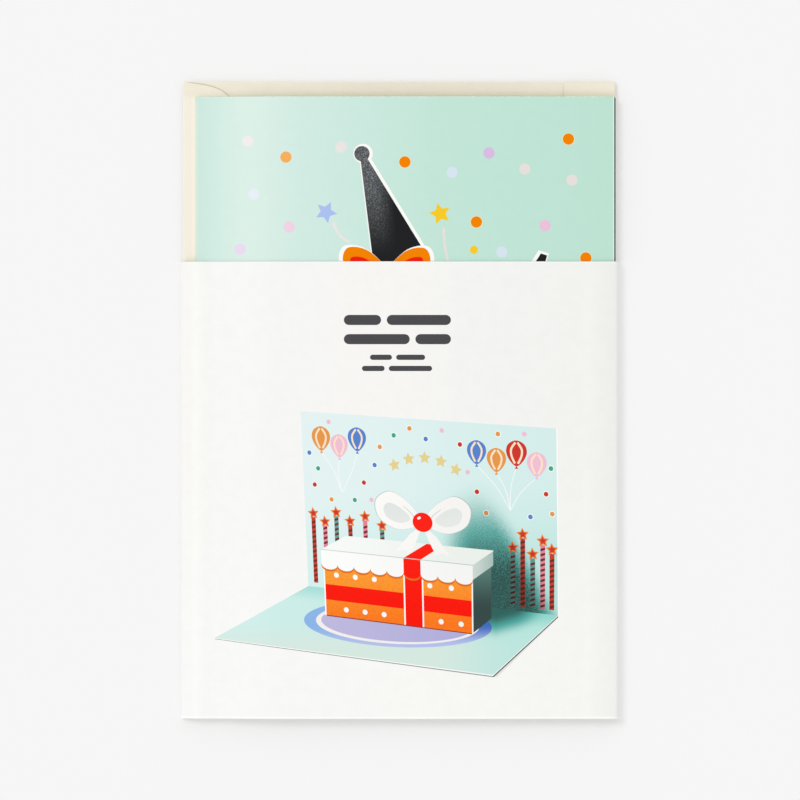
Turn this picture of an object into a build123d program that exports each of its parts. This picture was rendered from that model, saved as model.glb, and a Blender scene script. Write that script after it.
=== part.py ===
from build123d import *
import math
import os

# Pop-up card pack lying on its back: a folded card on its envelope, held by a sleeve.
# X runs across the front, Y runs up the front, Z is the thickness. Sizes in millimetres.

# Boards and papers
SLEEVE_BOARD = 0.25
ENVELOPE_PAPER = 0.15
CARD_BOARD = 0.4
POPUP_BOARD = 0.3

# Clearances
SLIDE_GAP = 0.3      # between the sleeve and everything inside it
LAYER_GAP = 0.1      # air between loose layers of folded paper
REST_GAP = 0.05      # card lying on the envelope
GLUE_GAP = 0.03      # glue film under a pasted tab

# Pack in plan
PACK_HALF_W = 62.65
PACK_HALF_H = 91.4
SLEEVE_H = 131.1
ENVELOPE_H = 182.0
CARD_H = 175.0
CARD_BELOW_TOP = 4.4  # the envelope shows above the card
SPINE_INSET = 3.8     # the envelope shows beside the card's fold
LEAF_STEP = 0.45      # the front leaf stops this far short of the back leaf

# Sleeve
LAP_W = 15.5         # glue lap inside the back panel, from the left fold
SEAM_IN = 1.4        # free edge of the back panel, from the left fold
SLEEVE_FOLD_R = 0.4
LEFT_BEND_R = 0.8
SHOULDER_R = 1.2
SHOULDER_LIFT = 0.3  # the right shoulder springs this far above the card
SHOULDER_LEAD = 10.0  # the sleeve leaves the card's curve this far before its edge

# Envelope
SIDE_FLAP_W = 14.8
SHOULDER_DIP = 1.3   # the side flap's shoulder falls this far before it turns down
SHOULDER_SLOPE = 0.16
FLAP_BEVEL = 2.5     # slant at the side flap's low end
FLAP_CORNER_R = 7.5
THROAT_DROP = 14.0
CLOSURE_FLAP_H = 46.0
CLOSURE_TAPER = 11.0
CLOSURE_CORNER_R = 9.0

# Card crown: heights of the front leaf's outside above the back leaf's underside
SPINE_H = 1.15
CROWN_H = 2.65
EDGE_H = 2.05
RISE_FROM = 3.0
RISE_TO = 23.0
FALL_FROM = 60.0
CARD_CORNER_R = 0.6

# Pop-up, measured along the leaves from the spine when the card is shut
BOX_H = 45.0
BOX_D = 43.0
BOX_W = 84.0
DIVE_RUN = 13.0      # the top panel drops off the front leaf over this run
TAB = 10.0
TAB_BEVEL = 6.0
BOW_FROM_WALL = 20.0
BOW_H = 40.0
BOW_W = 62.0
BOW_TAB = 8.0
STRUT_UP = 15.0
STRUT_W = 12.0
STRUT_TAB = 7.0
STRUT_LEAD = 2.0     # the strut is flat this far before its fold on the bow

# Heights of the stack
lap_top = 2 * SLEEVE_BOARD
envelope_z = lap_top + SLIDE_GAP
closure_z = envelope_z + ENVELOPE_PAPER + LAYER_GAP
back_flap_z = closure_z + ENVELOPE_PAPER + LAYER_GAP
side_flap_z = back_flap_z + ENVELOPE_PAPER
envelope_top = side_flap_z + ENVELOPE_PAPER
card_z = envelope_top + REST_GAP
back_leaf_top = card_z + CARD_BOARD
front_face_z = back_leaf_top + GLUE_GAP + POPUP_BOARD / 2
top_panel_z = front_face_z + POPUP_BOARD + LAYER_GAP
bow_z = top_panel_z + POPUP_BOARD / 2 + GLUE_GAP
strut_z = bow_z + POPUP_BOARD + GLUE_GAP + POPUP_BOARD / 2

# Edges in plan
inner_half_w = PACK_HALF_W - SLEEVE_BOARD
content_half_w = inner_half_w - SLIDE_GAP
front_leaf_x = content_half_w - LEAF_STEP
spine_x = SPINE_INSET - content_half_w
leaf_depth = content_half_w - spine_x
envelope_low_y = PACK_HALF_H - ENVELOPE_H
card_low_y = PACK_HALF_H - CARD_BELOW_TOP - CARD_H
popup_y = card_low_y + CARD_H / 2


def crown(s):
    """Height of the front leaf's outside at distance s from the spine."""
    rise = min(max((s - RISE_FROM) / (RISE_TO - RISE_FROM), 0.0), 1.0)
    rise = 0.5 - 0.5 * math.cos(math.pi * rise)
    fall = max((s - FALL_FROM) / (leaf_depth - FALL_FROM), 0.0)
    lift = SPINE_H + (CROWN_H - SPINE_H) * rise
    return card_z + lift - (CROWN_H - EDGE_H) * fall ** 2


def along_crown(s_from, s_to, drop, steps):
    """Points that follow the front leaf, a drop below its outside."""
    points = []
    for i in range(steps + 1):
        s = s_from + (s_to - s_from) * i / steps
        points.append((spine_x + s, crown(s) - drop))
    return points


# Sleeve: one strip of board round the pack, its middle line drawn from the lap
half_board = SLEEVE_BOARD / 2
wall_x = PACK_HALF_W - half_board
lap_z = SLEEVE_BOARD + half_board
rise_to_card = SLIDE_GAP + half_board
bend_corner = Vector(-wall_x, envelope_top + rise_to_card + REST_GAP)
over_spine = Vector(spine_x, crown(0) + rise_to_card + REST_GAP)
slope_angle = math.degrees(
    math.atan2(over_spine.Y - bend_corner.Y, over_spine.X - bend_corner.X)
)
bend_run = LEFT_BEND_R * math.tan(math.radians((90 - slope_angle) / 2))
shoulder_x = wall_x - SHOULDER_R
shoulder_top = crown(shoulder_x - spine_x) + rise_to_card + SHOULDER_LIFT
with BuildLine() as sleeve_path:
    fold_left = JernArc((-wall_x + SLEEVE_FOLD_R, lap_z), (-1, 0), SLEEVE_FOLD_R, -90)
    wall_left = Line(fold_left @ 1, (-wall_x, bend_corner.Y - bend_run))
    bend = JernArc(wall_left @ 1, (0, 1), LEFT_BEND_R, slope_angle - 90)
    slope = Line(bend @ 1, over_spine)
    top_points = along_crown(RISE_FROM + 1, leaf_depth - SHOULDER_LEAD, -rise_to_card, 24)
    top = Spline(
        [slope @ 1] + top_points + [(shoulder_x, shoulder_top)],
        tangents=[slope % 1, (1, 0)],
    )
    shoulder = JernArc(top @ 1, (1, 0), SHOULDER_R, -90)
    wall_right = Line(shoulder @ 1, (wall_x, half_board + SLEEVE_FOLD_R))
    fold_right = JernArc(wall_right @ 1, (0, -1), SLEEVE_FOLD_R, -90)
    back = Line(fold_right @ 1, (-PACK_HALF_W + SEAM_IN, half_board))

with BuildPart() as sleeve:
    with BuildSketch(Plane.XZ.offset(PACK_HALF_H)):
        add(sleeve_path.line)
        trace(line_width=SLEEVE_BOARD)
        with Locations(fold_left @ 0):
            Rectangle(
                LAP_W - half_board - SLEEVE_FOLD_R,
                SLEEVE_BOARD,
                align=(Align.MIN, Align.CENTER),
            )
    extrude(amount=-SLEEVE_H)

# Card cover: back leaf, turned fold at the spine, sprung front leaf
half_cover = CARD_BOARD / 2
fold_r = (SPINE_H - CARD_BOARD) / 2
with BuildLine() as cover_path:
    back_leaf = Line(
        (content_half_w, card_z + half_cover),
        (spine_x + half_cover + fold_r, card_z + half_cover),
    )
    spine = JernArc(back_leaf @ 1, (-1, 0), fold_r, -180)
    hinge_flat = Line(spine @ 1, (spine_x + RISE_FROM - 1, (spine @ 1).Y))
    front_leaf = Spline(
        [hinge_flat @ 1]
        + along_crown(RISE_FROM, front_leaf_x - spine_x, half_cover, 26),
        tangents=[(1, 0), (1, -0.02)],
    )

with BuildPart() as card:
    with BuildSketch(Plane.XZ.offset(-card_low_y)):
        add(cover_path.line)
        trace(line_width=CARD_BOARD)
    extrude(amount=-CARD_H)
    with BuildSketch(Plane.XY.offset(card_z - REST_GAP / 2)):
        with Locations(((spine_x + content_half_w) / 2, popup_y)):
            RectangleRounded(leaf_depth, CARD_H, CARD_CORNER_R)
    extrude(amount=2 * CROWN_H, mode=Mode.INTERSECT)

# Envelope: side flaps over the back flap, closure flap tucked in under both
half_paper = ENVELOPE_PAPER / 2
side_r = (side_flap_z - envelope_z) / 2
fold_x = content_half_w - half_paper - side_r
with BuildLine() as side_path:
    flap_left = Line(
        (-content_half_w + SIDE_FLAP_W, side_flap_z + half_paper),
        (-fold_x, side_flap_z + half_paper),
    )
    side_fold_left = JernArc(flap_left @ 1, (-1, 0), side_r, 180)
    front_sheet = Line(side_fold_left @ 1, (fold_x, envelope_z + half_paper))
    side_fold_right = JernArc(front_sheet @ 1, (1, 0), side_r, 180)
    flap_right = Line(
        side_fold_right @ 1, (content_half_w - SIDE_FLAP_W, side_flap_z + half_paper)
    )

low_r = (back_flap_z - envelope_z) / 2
top_r = (closure_z - envelope_z) / 2
with BuildLine() as length_path:
    back_flap = Line(
        (PACK_HALF_H - THROAT_DROP, back_flap_z + half_paper),
        (envelope_low_y + half_paper + low_r, back_flap_z + half_paper),
    )
    low_fold = JernArc(back_flap @ 1, (-1, 0), low_r, 180)
    front_length = Line(
        low_fold @ 1, (PACK_HALF_H - half_paper - top_r, envelope_z + half_paper)
    )
    top_fold = JernArc(front_length @ 1, (1, 0), top_r, 180)
    closure_flap = Line(top_fold @ 1, (PACK_HALF_H - CLOSURE_FLAP_H, closure_z + half_paper))

inner_flap_half_w = fold_x - half_paper - LAYER_GAP
with BuildPart() as envelope:
    with BuildSketch(Plane.XZ.offset(-envelope_low_y)):
        add(side_path.line)
        trace(line_width=ENVELOPE_PAPER)
    extrude(amount=-ENVELOPE_H)
    with BuildSketch(Plane.XY.offset(side_flap_z - half_paper)):
        with BuildLine():
            for side in (-1, 1):
                edge_x = side * content_half_w
                inner_x = side * (content_half_w - SIDE_FLAP_W)
                turn_y = PACK_HALF_H - SHOULDER_DIP - FLAP_CORNER_R
                edge = Line((edge_x, PACK_HALF_H), (edge_x, PACK_HALF_H + 1))
                across = Line(edge @ 1, (inner_x, PACK_HALF_H + 1))
                down = Line(across @ 1, (inner_x, turn_y))
                on_curve_x = inner_x + side * 0.34 * FLAP_CORNER_R
                Spline(
                    [down @ 1, (on_curve_x, turn_y + 0.72 * FLAP_CORNER_R), edge @ 0],
                    tangents=[(0, 1), (side, SHOULDER_SLOPE)],
                )
                Polyline(
                    (edge_x, envelope_low_y),
                    (inner_x, envelope_low_y + FLAP_BEVEL),
                    (inner_x, envelope_low_y - 1),
                    (edge_x, envelope_low_y - 1),
                    close=True,
                )
        make_face()
    extrude(amount=side_flap_z, mode=Mode.SUBTRACT)
    with BuildSketch(Plane.YZ.offset(-inner_flap_half_w)):
        add(length_path.line)
        trace(line_width=ENVELOPE_PAPER)
    extrude(amount=2 * inner_flap_half_w)
    with BuildSketch(Plane.XY.offset(closure_z - LAYER_GAP / 2)):
        flap_end_y = PACK_HALF_H - CLOSURE_FLAP_H
        for side in (-1, 1):
            with BuildLine():
                full_x = side * inner_flap_half_w
                narrow_x = side * (inner_flap_half_w - CLOSURE_TAPER)
                FilletPolyline(
                    (full_x, PACK_HALF_H - top_r - half_paper),
                    (narrow_x, flap_end_y),
                    (narrow_x - side * 3 * CLOSURE_CORNER_R, flap_end_y),
                    radius=CLOSURE_CORNER_R,
                )
                Polyline(
                    (narrow_x - side * 3 * CLOSURE_CORNER_R, flap_end_y),
                    (narrow_x - side * 3 * CLOSURE_CORNER_R, flap_end_y - 1),
                    (full_x + side * 0.05, flap_end_y - 1),
                    (full_x + side * 0.05, PACK_HALF_H - top_r - half_paper),
                    (full_x, PACK_HALF_H - top_r - half_paper),
                )
            make_face()
    extrude(amount=ENVELOPE_PAPER + LAYER_GAP, mode=Mode.SUBTRACT)

# Gift box of the pop-up: wall tab, top panel, front fold, front face, base tab
half_popup = POPUP_BOARD / 2
under_leaf = CARD_BOARD + GLUE_GAP + half_popup
fold_s = BOX_H + BOX_D
panel_r = (top_panel_z - front_face_z) / 2
with BuildLine() as box_path:
    wall_tab = Line(along_crown(BOX_H - TAB, BOX_H, under_leaf, 1))
    dive = Spline(
        [wall_tab @ 1, (spine_x + BOX_H + DIVE_RUN, top_panel_z)],
        tangents=[wall_tab % 1, (1, 0)],
    )
    top_panel = Line(dive @ 1, (spine_x + fold_s - panel_r - half_popup, top_panel_z))
    front_fold = JernArc(top_panel @ 1, (1, 0), panel_r, -180)
    front_face = Line(front_fold @ 1, (spine_x + BOX_D - TAB, front_face_z))

with BuildPart() as gift_box:
    with BuildSketch(Plane.XZ.offset(BOX_W / 2 - popup_y)):
        add(box_path.line)
        trace(line_width=POPUP_BOARD)
    extrude(amount=-BOX_W)
    with BuildSketch(Plane.XY.offset(back_leaf_top)):
        tab_start = spine_x + BOX_D - TAB
        for side in (-1, 1):
            side_y = popup_y + side * BOX_W / 2
            with BuildLine():
                Polyline(
                    (tab_start - 1, side_y),
                    (tab_start + TAB, side_y),
                    (tab_start, side_y - side * TAB_BEVEL),
                    (tab_start - 1, side_y - side * TAB_BEVEL),
                    close=True,
                )
            make_face()
    extrude(amount=CROWN_H, mode=Mode.SUBTRACT)

# Bow that stands on the top panel, shut flat over it
bow_s = BOX_H + BOW_FROM_WALL
knot_s = bow_s + BOW_H * 0.5
with BuildPart() as bow:
    with BuildSketch(Plane.XY.offset(bow_z)):
        with Locations((spine_x + bow_s - BOW_TAB / 2, popup_y)):
            Rectangle(BOW_TAB, 2 * STRUT_W)
        for side in (-1, 1):
            with BuildLine():
                Polyline(
                    (spine_x + bow_s, popup_y),
                    (spine_x + bow_s, popup_y + side * BOW_W * 0.34),
                    (spine_x + bow_s + BOW_H * 0.12, popup_y + side * BOW_W * 0.22),
                    (spine_x + knot_s, popup_y + side * BOW_W * 0.06),
                    (spine_x + knot_s, popup_y),
                    close=True,
                )
            make_face()
        for side in (-1, 1):
            with BuildLine():
                inner = (spine_x + knot_s, popup_y + side * BOW_W * 0.05)
                Spline(
                    [
                        inner,
                        (spine_x + knot_s - BOW_H * 0.02, popup_y + side * BOW_W * 0.34),
                        (spine_x + knot_s + BOW_H * 0.22, popup_y + side * BOW_W * 0.5),
                        (spine_x + bow_s + BOW_H, popup_y + side * BOW_W * 0.3),
                        (spine_x + knot_s + BOW_H * 0.3, popup_y + side * BOW_W * 0.1),
                        inner,
                    ],
                )
            make_face()
        for side in (-1, 1):
            with Locations((spine_x + knot_s + BOW_H * 0.24, popup_y + side * BOW_W * 0.3)):
                Ellipse(BOW_H * 0.1, BOW_W * 0.08, mode=Mode.SUBTRACT)
        with Locations((spine_x + knot_s + BOW_H * 0.04, popup_y)):
            Circle(BOW_H * 0.15)
    extrude(amount=POPUP_BOARD)

# Strut between the front leaf and the bow's back
strut_from = BOX_H + STRUT_UP
strut_to = strut_from + BOW_FROM_WALL
with BuildLine() as strut_path:
    leaf_tab = Line(along_crown(strut_from - STRUT_TAB, strut_from, under_leaf, 1))
    reach = Spline(
        [leaf_tab @ 1, (spine_x + strut_to - STRUT_LEAD, strut_z)],
        tangents=[leaf_tab % 1, (1, 0)],
    )
    bow_side_tab = Line(reach @ 1, (spine_x + strut_to + STRUT_TAB, strut_z))

with BuildPart() as bow_strut:
    with BuildSketch(Plane.XZ.offset(STRUT_W / 2 - popup_y)):
        add(strut_path.line)
        trace(line_width=POPUP_BOARD)
    extrude(amount=-STRUT_W)

sleeve.part.label = "sleeve"
card.part.label = "card"
envelope.part.label = "envelope"
gift_box.part.label = "gift_box"
bow.part.label = "bow"
bow_strut.part.label = "bow_strut"

os.makedirs("parts", exist_ok=True)
export_step(sleeve.part, "parts/sleeve.step")
export_step(card.part, "parts/card.step")
export_step(envelope.part, "parts/envelope.step")
export_step(gift_box.part, "parts/gift_box.step")
export_step(bow.part, "parts/bow.step")
export_step(bow_strut.part, "parts/bow_strut.step")
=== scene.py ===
import math
from collections import namedtuple

import bmesh
import bpy
import numpy as np
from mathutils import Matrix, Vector
from mathutils.bvhtree import BVHTree


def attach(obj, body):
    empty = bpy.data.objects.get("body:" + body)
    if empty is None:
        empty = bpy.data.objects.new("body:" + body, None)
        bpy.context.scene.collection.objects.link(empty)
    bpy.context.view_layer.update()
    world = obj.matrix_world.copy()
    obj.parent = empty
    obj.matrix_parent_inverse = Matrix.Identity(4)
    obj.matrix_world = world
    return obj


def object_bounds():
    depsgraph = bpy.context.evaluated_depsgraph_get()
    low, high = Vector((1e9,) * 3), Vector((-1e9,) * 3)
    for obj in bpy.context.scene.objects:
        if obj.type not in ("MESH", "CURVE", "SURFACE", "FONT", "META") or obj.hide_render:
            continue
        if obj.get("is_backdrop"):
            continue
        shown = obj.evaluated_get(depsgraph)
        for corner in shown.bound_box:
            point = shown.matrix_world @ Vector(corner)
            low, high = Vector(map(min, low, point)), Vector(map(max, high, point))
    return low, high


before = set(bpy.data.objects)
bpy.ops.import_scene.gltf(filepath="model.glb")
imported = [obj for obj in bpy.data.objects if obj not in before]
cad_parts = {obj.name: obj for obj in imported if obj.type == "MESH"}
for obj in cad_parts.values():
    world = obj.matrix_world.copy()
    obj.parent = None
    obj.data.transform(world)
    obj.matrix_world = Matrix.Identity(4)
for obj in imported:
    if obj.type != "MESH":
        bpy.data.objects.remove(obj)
cad_low, cad_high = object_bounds()

# Sizes are in millimetres, as in the CAD. X runs across the front, Y up it, Z out of it.
MM = 0.001
CARD_BODY = "card_and_envelope"
SLEEVE_BODY = "sleeve"


def end_of(node, axis, side):
    """Where a CAD node ends along an axis, in millimetres. The side is min or max."""
    places = [vertex.co[axis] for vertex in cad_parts[node].data.vertices]
    return round(side(places) / MM, 2)


# Places taken from the CAD. The card's back leaf ends a step further out than its front leaf.
LEAF_STEP = 0.45
FRONT_LEAF_X = end_of("card", 0, max) - LEAF_STEP
CARD_TOP_Y = end_of("card", 1, max)
SLEEVE_TOP_Y = end_of("sleeve", 1, max)
SLEEVE_LOW_Y = end_of("sleeve", 1, min)

# Heights between the layers of the folded boards, and what X counts beside them on a side wall
SLEEVE_MID_Z = 1.2
SLEEVE_FRONT_ABOVE_Z = 1.2
BACK_LEAF_TOP_Z = 2.2
CARD_MID_Z = 2.22
FRONT_LEAF_ABOVE_Z = 2.5
WALL_WEIGHT = 0.05

# Prints: how far ink stands on the board, per layer, and how far it reaches into it
INK_STEP = 0.0025
INK_ROOT = 0.012

# Surfaces: ink's roughness, the shine of ink and board, and how deep the fibre's relief is
INK_ROUGHNESS = 0.45
INK_GLOSS = 0.12
BOARD_GLOSS = 0.5
INK_RELIEF = 0.004
PANEL_RELIEF = 0.005
BOARD_RELIEF = 0.006

# Shadow in the sleeve's picture, and its hinge line
SHADE_LEAN = 0.48
SHADE_RIGHT = 18.5
SHADE_FULL = 8.5
SHADE_LEFT = 9.0
SHADE_FADE = 13.0
SHADE_TOP_Y = -18.0
SHADE_LOW_Y = -54.0
SHADE_GRAIN = 0.27
SUNK_SHARE = 0.32
HINGE_SLOPE = 0.118
HINGE_MID_Y = -56.4

# Light: shares of it on a level surface, how the lamp's shadow falls, and the backdrop's tone
SKY_SHARE = 0.80
SUN_SHARE = 0.22
SHADOW_RIGHT = 2.9
SHADOW_DOWN = 2.25
SHADOW_DROP = 4.86
SUN_SPREAD = math.radians(22)
BACKDROP = 245


# Colours

def srgb(red, green, blue):
    """Linear colour of an sRGB colour given in 0 to 255."""
    linear = []
    for value in (red, green, blue):
        share = value / 255
        if share <= 0.04045:
            linear.append(share / 12.92)
        else:
            linear.append(((share + 0.055) / 1.055) ** 2.4)
    return (*linear, 1.0)


def grey(share):
    """Linear grey, from 0 for black to 1 for white."""
    return (share, share, share, 1.0)


def darker(colour, share):
    """A colour with this share of its light."""
    return (*(channel * share for channel in colour[:3]), 1.0)


WHITE = grey(1.0)


# Node helpers

def new_material(name, roughness=INK_ROUGHNESS, gloss=INK_GLOSS):
    """A node material and its tree."""
    material = bpy.data.materials.new(name)
    material.use_nodes = True
    shader = material.node_tree.nodes["Principled BSDF"]
    shader.inputs["Roughness"].default_value = roughness
    shader.inputs["IOR"].default_value = 1.45
    shader.inputs["Specular IOR Level"].default_value = gloss
    return material, material.node_tree


def add(tree, kind, **settings):
    node = tree.nodes.new(kind)
    for key, value in settings.items():
        setattr(node, key, value)
    return node


def tree_of(*values):
    """The node tree of the first of these values that comes from a node."""
    return next(value.id_data for value in values if isinstance(value, bpy.types.NodeSocket))


def feed(socket, value):
    """Links an input to the value's node, or sets it to a plain value."""
    if isinstance(value, bpy.types.NodeSocket):
        socket.id_data.links.new(value, socket)
    else:
        socket.default_value = value


def coordinate(tree, kind, axis):
    split = add(tree, "ShaderNodeSeparateXYZ")
    feed(split.inputs[0], add(tree, "ShaderNodeTexCoord").outputs[kind])
    return split.outputs[axis]


def place(tree, axis):
    """One coordinate of the point in the object's own space, in metres."""
    return coordinate(tree, "Object", axis)


def facing(tree, axis):
    """One coordinate of the surface's own normal."""
    return coordinate(tree, "Normal", axis)


def math_node(operation, first, second=0.0):
    node = add(tree_of(first, second), "ShaderNodeMath", operation=operation)
    feed(node.inputs[0], first)
    feed(node.inputs[1], second)
    return node.outputs[0]


def times(product, *factors):
    for factor in factors:
        product = math_node("MULTIPLY", product, factor)
    return product


def largest(value, *others):
    for other in others:
        value = math_node("MAXIMUM", value, other)
    return value


def map_range(value, low, high, kind):
    """0 at low and 1 at high."""
    node = add(tree_of(value), "ShaderNodeMapRange", interpolation_type=kind)
    feed(node.inputs["Value"], value)
    node.inputs["From Min"].default_value = low
    node.inputs["From Max"].default_value = high
    return node.outputs[0]


def ramp(value, low, high):
    """Smooth step from 0 at low to 1 at high."""
    return map_range(value, low, high, "SMOOTHSTEP")


def between(value, low, high):
    """Smooth step between two places in millimetres."""
    return ramp(value, low * MM, high * MM)


def colour_stops(value, stops, colour=srgb):
    """Colour that passes through stops in rising order: a place in millimetres, then its tone."""
    low = stops[0][0]
    high = stops[-1][0]
    band = add(tree_of(value), "ShaderNodeValToRGB")
    feed(band.inputs[0], map_range(value, low * MM, high * MM, "LINEAR"))
    elements = band.color_ramp.elements
    while len(elements) < len(stops):
        elements.new(0.5)
    for element, (at, *tone) in zip(elements, stops):
        element.position = (at - low) / (high - low)
        element.color = colour(*tone)
    return band.outputs[0]


def mix(factor, first, second, blend_type="MIX"):
    tree = tree_of(factor, first, second)
    node = add(tree, "ShaderNodeMix", data_type="RGBA", blend_type=blend_type)
    feed(node.inputs[0], factor)
    feed(node.inputs[6], first)
    feed(node.inputs[7], second)
    return node.outputs[2]


def tinted(colour, amount, start, end):
    """A colour multiplied by a tint that goes from start to end as the amount goes from 0 to 1."""
    return mix(1.0, colour, mix(amount, start, end), "MULTIPLY")


def shaded(colour, amount, middle, deep):
    """A colour that sinks into shadow by an amount from 0 to 1."""
    half = mix(ramp(amount, 0.0, 0.6), colour, middle)
    return mix(ramp(amount, 0.45, 1.0), half, deep)


def noise(tree, size, detail=2.0, stretch=(1.0, 1.0, 1.0)):
    """Noise with features of about this size in millimetres."""
    mapping = add(tree, "ShaderNodeMapping")
    mapping.inputs["Scale"].default_value = stretch
    feed(mapping.inputs[0], add(tree, "ShaderNodeTexCoord").outputs["Object"])
    texture = add(tree, "ShaderNodeTexNoise")
    texture.inputs["Scale"].default_value = 1 / (size * MM)
    texture.inputs["Detail"].default_value = detail
    feed(texture.inputs["Vector"], mapping.outputs[0])
    return texture.outputs[0]


def bump(height, depth):
    """Relief of this depth in millimetres, laid over whatever relief the material has."""
    tree = tree_of(height)
    normal = tree.nodes["Principled BSDF"].inputs["Normal"]
    node = add(tree, "ShaderNodeBump")
    node.inputs["Distance"].default_value = depth * MM
    feed(node.inputs["Height"], height)
    if normal.is_linked:
        feed(node.inputs["Normal"], normal.links[0].from_socket)
    feed(normal, node.outputs[0])


def on_board(material, colour, depth=INK_RELIEF):
    """Gives a material its colour, and a board's flattened fibre and slow waves."""
    tree = material.node_tree
    feed(tree.nodes["Principled BSDF"].inputs["Base Color"], colour)
    bump(noise(tree, 26.0, 1.0), 0.12)
    bump(noise(tree, 0.35, 3.0, (1.0, 0.45, 1.0)), depth)
    return material


def crease(tree, reach, local):
    """1 in the open, falling towards 0 in corners and gaps within this reach in millimetres."""
    node = add(tree, "ShaderNodeAmbientOcclusion", samples=12, only_local=local)
    node.inputs["Distance"].default_value = reach * MM
    return node.outputs["AO"]


def turned_in(tree, mid_z):
    """1 on faces that look into the folded board, 0 outside."""
    height = math_node("SUBTRACT", place(tree, "Z"), mid_z * MM)
    up = times(height, facing(tree, "Z"))
    across = times(place(tree, "X"), facing(tree, "X"), WALL_WEIGHT)
    outward = math_node("ADD", up, across)
    return math_node("LESS_THAN", outward, 0.0)


def cut_edge(tree):
    """1 on the board's cut ends along Y."""
    return ramp(math_node("ABSOLUTE", facing(tree, "Y")), 0.6, 0.9)


# Materials of the CAD nodes

def fold_stops(tone):
    """Light on the sleeve's right fold: it brightens up to the shoulder, then turns down into shade."""
    rises = [(61.4, 0), (61.8, 5), (62.1, 10), (62.56, 11), (62.64, -8), (63, -8)]
    return [(at, tone + rise, tone + rise, tone + rise - 3) for at, rise in rises]


def sleeve_board():
    """White board with painted light, painted highlights at its two ends, painted shade at the upper one,
    grey inside.
    """
    material, tree = new_material("sleeve_board", 0.46, BOARD_GLOSS)
    x = place(tree, "X")
    y = place(tree, "Y")
    # Painted light: lighter towards the left, darker towards the right fold, a little lighter towards the
    # lower end.
    upper = colour_stops(x, [
        (-60, 243, 242, 238), (-57, 247, 247, 244), (-51, 245, 245, 243), (-30, 244, 244, 242),
        (0, 246, 244, 241), (18, 242, 243, 240), (54, 241, 241, 238), *fold_stops(236),
    ])
    lower = colour_stops(x, [
        (-60, 244, 245, 242), (-57, 248, 249, 246), (-51, 246, 247, 244), (20, 246, 246, 243),
        (54, 244, 244, 241), *fold_stops(239),
    ])
    outside = mix(between(y, -10, -80), upper, lower)
    # Painted highlights along the two ends, and a painted shade line along the very top edge.
    near_top = between(y, SLEEVE_TOP_Y - 0.55, SLEEVE_TOP_Y - 0.25)
    near_low = between(y, SLEEVE_LOW_Y + 0.75, SLEEVE_LOW_Y + 0.3)
    painted_highlight = largest(times(near_top, 0.45), times(near_low, 0.75))
    outside = mix(painted_highlight, outside, srgb(255, 254, 252))
    painted_edge_shade = between(y, SLEEVE_TOP_Y - 0.22, SLEEVE_TOP_Y - 0.12)
    outside = mix(times(painted_edge_shade, 0.45), outside, srgb(196, 204, 196))
    mottle = mix(noise(tree, 0.6, 4.0), srgb(232, 229, 222), srgb(243, 241, 235))
    colour = mix(turned_in(tree, SLEEVE_MID_Z), outside, mottle)
    colour = mix(cut_edge(tree), colour, srgb(246, 243, 236))
    cloud = ramp(noise(tree, 3.0, 5.0), 0.35, 0.65)
    return on_board(material, tinted(colour, cloud, grey(0.985), WHITE), BOARD_RELIEF)


def mint_cover(tree):
    """The cover's mint, with painted light: a pale band near the spine, darker towards the right."""
    mint = colour_stops(place(tree, "X"), [
        (-58, 203, 230, 220), (-53, 207, 233, 224), (-46, 215, 236, 227), (-39, 215, 236, 227),
        (-29, 207, 233, 225), (-14, 202, 231, 221), (12, 191, 227, 213), (29, 189, 226, 211),
        (60, 187, 224, 208),
    ])
    cloud = ramp(noise(tree, 2.5, 5.0), 0.3, 0.7)
    return tinted(mint, cloud, (0.985, 0.99, 0.988, 1), WHITE)


def cover_board():
    """Mint outside, aqua inside, pale cuts, worn top edge. Painted shade on the back leaf's margin, a
    painted highlight at the fore edge.
    """
    material, tree = new_material("cover_board", 0.40, BOARD_GLOSS)
    x = place(tree, "X")
    inside = mix(noise(tree, 1.2, 4.0), srgb(203, 232, 228), srgb(209, 237, 233))
    colour = mix(turned_in(tree, CARD_MID_Z), mint_cover(tree), inside)
    # Painted shade: the back leaf's margin, seen in the gap beyond the front leaf, is painted near black.
    past_front = between(x, FRONT_LEAF_X - 0.1, FRONT_LEAF_X)
    low_down = between(place(tree, "Z"), BACK_LEAF_TOP_Z + 0.2, BACK_LEAF_TOP_Z)
    colour = mix(times(past_front, low_down), colour, srgb(22, 30, 26))
    fore_edge = ramp(facing(tree, "X"), 0.6, 0.9)
    high_up = math_node("SUBTRACT", 1.0, low_down)
    cut = largest(cut_edge(tree), times(fore_edge, high_up))
    colour = mix(cut, colour, srgb(236, 244, 238))
    # A painted highlight along the fore edge, and worn pale specks along the top edge.
    fore_highlight = between(x, FRONT_LEAF_X - 0.42, FRONT_LEAF_X - 0.16)
    rub_y = between(place(tree, "Y"), CARD_TOP_Y - 0.35, CARD_TOP_Y - 0.05)
    flaked = ramp(noise(tree, 0.7, 3.0), 0.42, 0.6)
    wear_and_highlight = largest(fore_highlight, times(rub_y, flaked))
    colour = mix(times(wear_and_highlight, high_up, 0.8), colour, srgb(228, 248, 238))
    return on_board(material, colour, PANEL_RELIEF)


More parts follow.
